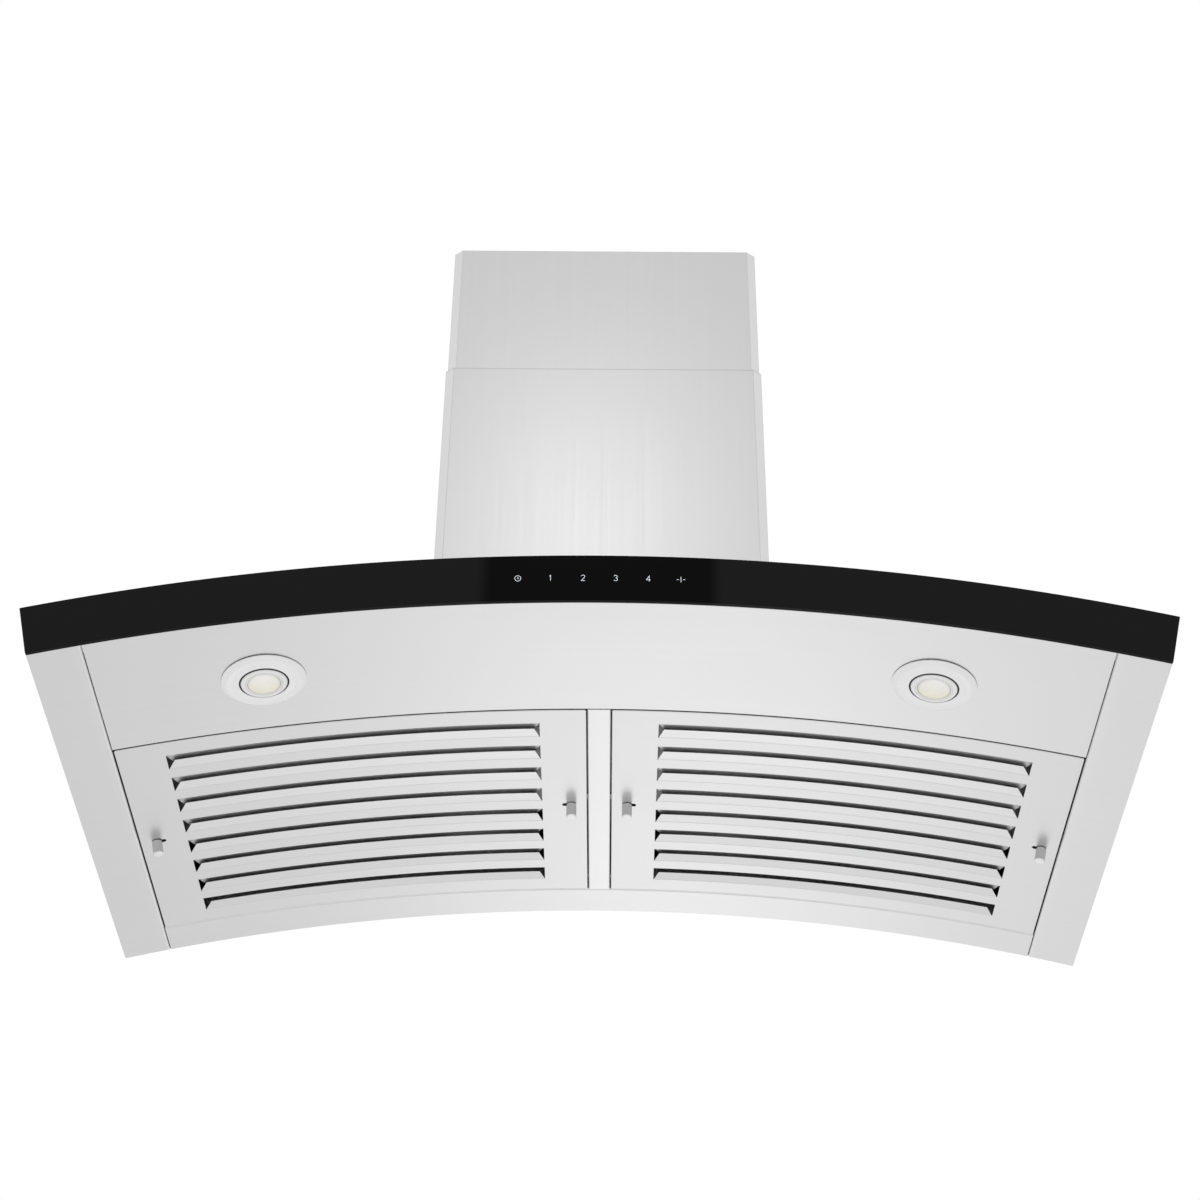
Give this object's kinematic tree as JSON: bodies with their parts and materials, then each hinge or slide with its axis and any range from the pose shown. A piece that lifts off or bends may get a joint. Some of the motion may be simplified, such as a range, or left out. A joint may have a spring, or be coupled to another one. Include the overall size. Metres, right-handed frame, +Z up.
{
  "type": "wall mount range hood",
  "caption": "Wall mount range hood with an arched steel canopy, black glass control band, baffle filters, tilting lamps, blower and telescoping chimney.",
  "frame": {"origin": "middle of the four wall holes, on the wall plane", "axes": "+X to the right as seen from the front, +Y into the wall, +Z up"},
  "size_m": [0.922, 0.5, 0.6773],
  "materials": {
    "steel_shell": "brushed, satin",
    "steel_filter": "brushed, satin",
    "steel_inner": "mill finish, seen in shade",
    "zinc": "zinc plated",
    "glass_black": "black, polished",
    "trim_ring": "satin, light grey",
    "lens": "warm, frosted",
    "alloy": "cast, fine grained",
    "knob_steel": "turned",
    "spring_steel": "bright wire",
    "board": "solder mask",
    "box_plastic": "moulded",
    "black_plastic": "moulded",
    "light_guide": "diffusing",
    "screw_steel": "plated",
    "motor_black": "black enamel"
  },
  "bodies": {
    "root": {"glass_front": "glass_black", "light_guides": "light_guide", "touch_board": "board", "front_carrier": "zinc", "canopy_top": "steel_shell", "canopy_back": "steel_shell", "wall_plate": "zinc", "canopy_screws": "screw_steel", "side_panel_left": "steel_shell", "side_panel_right": "steel_shell", "lamp_panel": "steel_shell", "rear_rail": "steel_shell", "centre_strip": "steel_shell", "lamp_trim_left": "trim_ring", "lamp_trim_right": "trim_ring", "lamp_clips": "zinc", "control_box": "box_plastic", "power_board": "board", "cable_gland": "black_plastic", "blower_housing": "zinc", "inlet_rings": "zinc", "motor_bracket": "motor_black", "blower_motor": "motor_black", "blower_screws": "screw_steel", "duct_collar": "zinc", "chimney_lower": "steel_shell", "chimney_tab_screws": "screw_steel"},
    "filter_left": {"filter_pan_left": "steel_filter", "filter_baffle_left": "steel_inner", "filter_posts_left": "steel_inner", "latch_guides_left": "zinc", "latch_springs_left": "spring_steel"},
    "latch_left_outer": {"latch_bolt_left_outer": "knob_steel", "latch_knob_left_outer": "knob_steel"},
    "latch_left_inner": {"latch_bolt_left_inner": "knob_steel", "latch_knob_left_inner": "knob_steel"},
    "lamp_left": {"lamp_ball_left": "trim_ring", "lamp_lens_left": "lens", "lamp_module_left": "alloy"},
    "filter_right": {"filter_pan_right": "steel_filter", "filter_baffle_right": "steel_inner", "filter_posts_right": "steel_inner", "latch_guides_right": "zinc", "latch_springs_right": "spring_steel"},
    "latch_right_outer": {"latch_bolt_right_outer": "knob_steel", "latch_knob_right_outer": "knob_steel"},
    "latch_right_inner": {"latch_bolt_right_inner": "knob_steel", "latch_knob_right_inner": "knob_steel"},
    "lamp_right": {"lamp_ball_right": "trim_ring", "lamp_lens_right": "lens", "lamp_module_right": "alloy"},
    "chimney_upper": {"chimney_upper": "steel_shell", "chimney_bracket": "zinc", "chimney_bracket_screws": "screw_steel"},
    "blower_wheel": {"blower_wheel": "alloy", "motor_shaft": "knob_steel"},
    "damper_front": {"damper_front": "zinc"},
    "damper_rear": {"damper_rear": "zinc"}
  },
  "joints": [
    {"name": "filter_drop_left", "type": "slide", "parent": "root", "child": "filter_left", "axis": [0, 0, -1], "range_m": [0, 0.08]},
    {"name": "latch_slide_left_outer", "type": "slide", "parent": "filter_left", "child": "latch_left_outer", "axis": [0.977, 0, 0.2134], "range_m": [0, 0.006], "stiffness_N_per_m": 400, "springref_m": -0.008, "deforming": ["latch_springs_left"]},
    {"name": "latch_slide_left_inner", "type": "slide", "parent": "filter_left", "child": "latch_left_inner", "axis": [-0.9999, 0, -0.0136], "range_m": [0, 0.006], "stiffness_N_per_m": 400, "springref_m": -0.008, "deforming": ["latch_springs_left"]},
    {"name": "lamp_tilt_left", "type": "hinge", "parent": "root", "child": "lamp_left", "pos_m": [-0.27657, -0.415, -0.16026], "axis": [0.9888, 0, 0.1493], "range_deg": [-15, 15]},
    {"name": "filter_drop_right", "type": "slide", "parent": "root", "child": "filter_right", "axis": [0, 0, -1], "range_m": [0, 0.08]},
    {"name": "latch_slide_right_outer", "type": "slide", "parent": "filter_right", "child": "latch_right_outer", "axis": [-0.977, 0, 0.2134], "range_m": [0, 0.006], "stiffness_N_per_m": 400, "springref_m": -0.008, "deforming": ["latch_springs_right"]},
    {"name": "latch_slide_right_inner", "type": "slide", "parent": "filter_right", "child": "latch_right_inner", "axis": [0.9999, 0, -0.0136], "range_m": [0, 0.006], "stiffness_N_per_m": 400, "springref_m": -0.008, "deforming": ["latch_springs_right"]},
    {"name": "lamp_tilt_right", "type": "hinge", "parent": "root", "child": "lamp_right", "pos_m": [0.27657, -0.415, -0.16026], "axis": [0.9888, 0, -0.1493], "range_deg": [-15, 15]},
    {"name": "chimney_extend", "type": "slide", "parent": "root", "child": "chimney_upper", "axis": [0, 0, 1], "range_m": [-0.12, 0.2]},
    {"name": "blower_spin", "type": "hinge", "parent": "root", "child": "blower_wheel", "pos_m": [0, -0.121, 0.013], "axis": [1, 0, 0], "continuous": true},
    {"name": "damper_swing_front", "type": "hinge", "parent": "root", "child": "damper_front", "pos_m": [0, -0.1372, 0.1845], "axis": [-1, 0, 0], "range_deg": [0, 80]},
    {"name": "damper_swing_rear", "type": "hinge", "parent": "root", "child": "damper_rear", "pos_m": [0, -0.1328, 0.1845], "axis": [1, 0, 0], "range_deg": [0, 80]}
  ]
}
